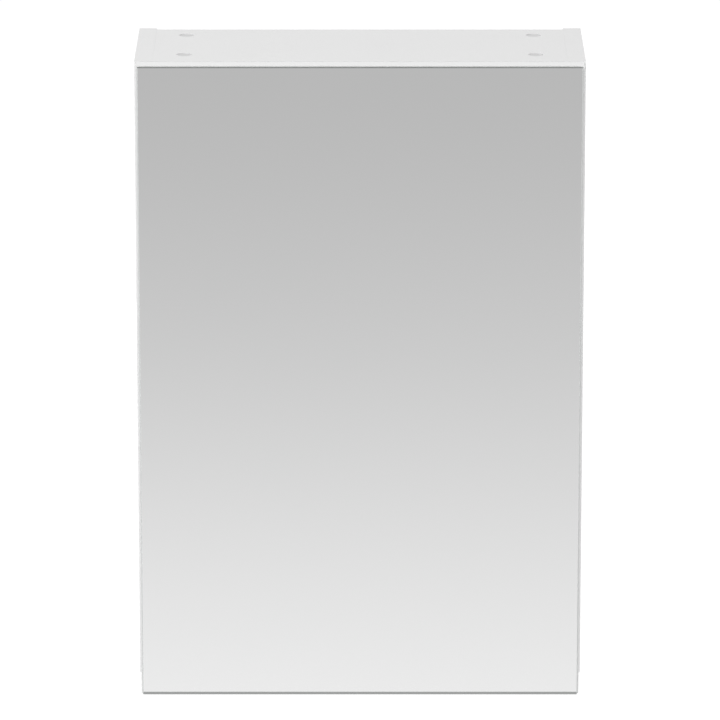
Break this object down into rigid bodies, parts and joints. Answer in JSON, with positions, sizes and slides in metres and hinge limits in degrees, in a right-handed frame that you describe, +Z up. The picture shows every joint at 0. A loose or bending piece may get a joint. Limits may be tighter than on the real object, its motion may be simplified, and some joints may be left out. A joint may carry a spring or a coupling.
{
  "type": "mirror cabinet",
  "caption": "Wall-hung white bathroom cabinet with a full-height mirrored door on concealed hinges and glass shelves inside.",
  "frame": {"origin": "middle of the four wall screws, on the wall plane", "axes": "+X to the viewer's right, +Y into the wall, +Z up; the mirror faces -Y"},
  "size_m": [0.45, 0.1803, 0.656],
  "materials": {
    "board": "white satin melamine on chipboard",
    "banding": "white satin edging",
    "zinc": "bright zinc",
    "nickel": "nickel plated steel",
    "cap": "light grey moulding",
    "moulding": "white moulding",
    "beech": "fluted beech",
    "back_sheet": "white faced thin fibreboard",
    "shelf_glass": "clear polished glass",
    "mirror": "silvered glass with polished edges",
    "foam": "white foam tape",
    "bumper": "clear soft polymer"
  },
  "bodies": {
    "carcass": {"side_panel_left": "board", "side_panel_right": "board", "top_panel": "board", "bottom_panel": "board", "back_panel": "back_sheet", "carcass_edge_banding": "banding", "cam_locks": "zinc", "cam_bolts": "zinc", "cam_caps": "cap", "dowels": "beech", "shelf_pins": "nickel", "wall_plate_left": "zinc", "wall_plate_right": "zinc", "hanger_hook_left": "zinc", "hanger_hook_right": "zinc", "hanger_body_left": "moulding", "hanger_body_right": "moulding", "hanger_adjusters": "zinc", "hanger_screws": "zinc", "hinge_base_upper": "nickel", "hinge_base_lower": "nickel", "hinge_base_screws": "zinc", "hinge_arm_upper": "nickel", "hinge_arm_lower": "nickel", "hinge_arm_screws": "zinc", "hinge_arm_pins": "nickel", "door_bumpers": "bumper"},
    "hinge_links": {"hinge_link_upper": "nickel", "hinge_link_lower": "nickel"},
    "door": {"door_board": "board", "door_edge_banding": "banding", "mirror_tape": "foam", "mirror_glass": "mirror", "hinge_cup_upper": "nickel", "hinge_cup_lower": "nickel", "hinge_cup_pins": "nickel", "hinge_cup_screws": "zinc"},
    "upper_shelf": {"shelf_upper": "shelf_glass"},
    "lower_shelf": {"shelf_lower": "shelf_glass"}
  },
  "joints": [
    {"name": "link_swing", "type": "hinge", "parent": "carcass", "child": "hinge_links", "pos_m": [-0.192, -0.153, -0.266], "axis": [0, 0, -1], "range_deg": [-51, 0]},
    {"name": "door_swing", "type": "hinge", "parent": "hinge_links", "child": "door", "pos_m": [-0.21135, -0.1617, -0.266], "axis": [0, 0, -1], "range_deg": [0, 150]},
    {"name": "upper_shelf_lift", "type": "slide", "parent": "carcass", "child": "upper_shelf", "axis": [0, 0, 1], "range_m": [0, 0.03]},
    {"name": "lower_shelf_lift", "type": "slide", "parent": "carcass", "child": "lower_shelf", "axis": [0, 0, 1], "range_m": [0, 0.03]}
  ],
  "couplings": [
    {"joint": "link_swing", "follows": "door_swing", "ratio": -0.34}
  ]
}
